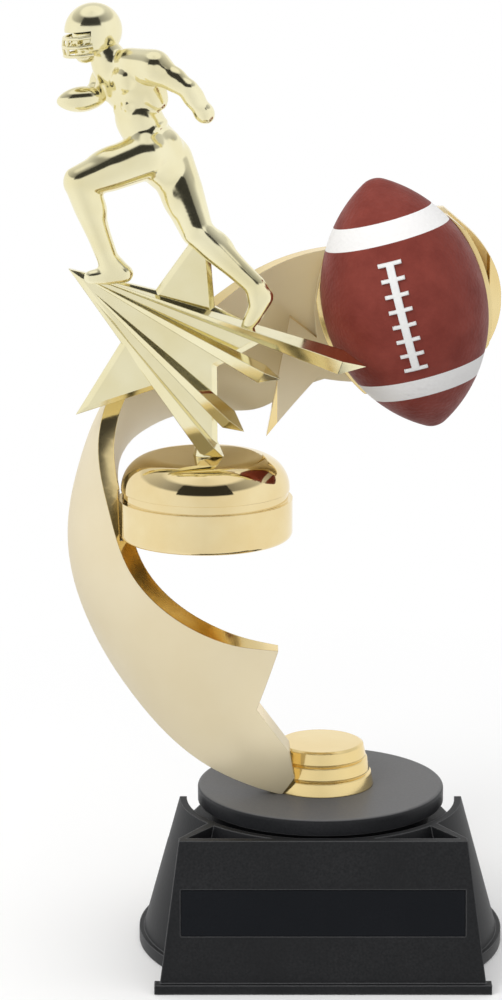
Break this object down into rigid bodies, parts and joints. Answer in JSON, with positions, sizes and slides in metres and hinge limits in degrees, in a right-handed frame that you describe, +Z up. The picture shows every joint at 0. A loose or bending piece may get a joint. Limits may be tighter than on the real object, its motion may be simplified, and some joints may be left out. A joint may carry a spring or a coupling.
{
  "type": "football trophy",
  "caption": "Football trophy: a gold runner on a star and a painted ball carried by a twisted gold ribbon that turns on a round black weighted base with a bare plate.",
  "frame": {"origin": "on the floor at the axis of the round base", "axes": "+Z up, the bare plate faces -Y, +X to the right seen from the front"},
  "size_m": [0.1256, 0.1006, 0.2697],
  "materials": {
    "base_black": "satin moulded",
    "disc_black": "satin moulded",
    "plate_dark": "bare dark satin",
    "weight_iron": "rough cast",
    "cover_black": "matte",
    "fastener_steel": "zinc plated",
    "insert_brass": "turned",
    "ribbon_gold": "pale satin gold plating",
    "platform_gold": "bright gold plating",
    "topper_gold": "bright gold plating",
    "ball_red": "pebbled paint",
    "lace_white": "painted"
  },
  "bodies": {
    "base": {"base_shell": "base_black", "top_disc": "disc_black", "name_plate": "plate_dark", "base_weight": "weight_iron", "bottom_cover": "cover_black", "cover_screws": "fastener_steel", "riser_bolt": "fastener_steel", "bolt_washer": "fastener_steel"},
    "riser": {"ribbon_riser": "ribbon_gold", "foot_insert": "insert_brass", "ball_band": "ribbon_gold", "band_screws": "fastener_steel", "football_front": "ball_red", "football_back": "ball_red", "football_laces": "lace_white", "ball_screw": "fastener_steel", "figure_platform": "platform_gold", "topper_washer": "fastener_steel", "topper_nut": "fastener_steel", "star_stand": "topper_gold", "runner_figure": "topper_gold", "topper_stud": "fastener_steel"}
  },
  "joints": [
    {"name": "riser_swivel", "type": "hinge", "parent": "base", "child": "riser", "pos_m": [0, 0, 0.04625], "axis": [0, 0, 1], "continuous": true}
  ]
}
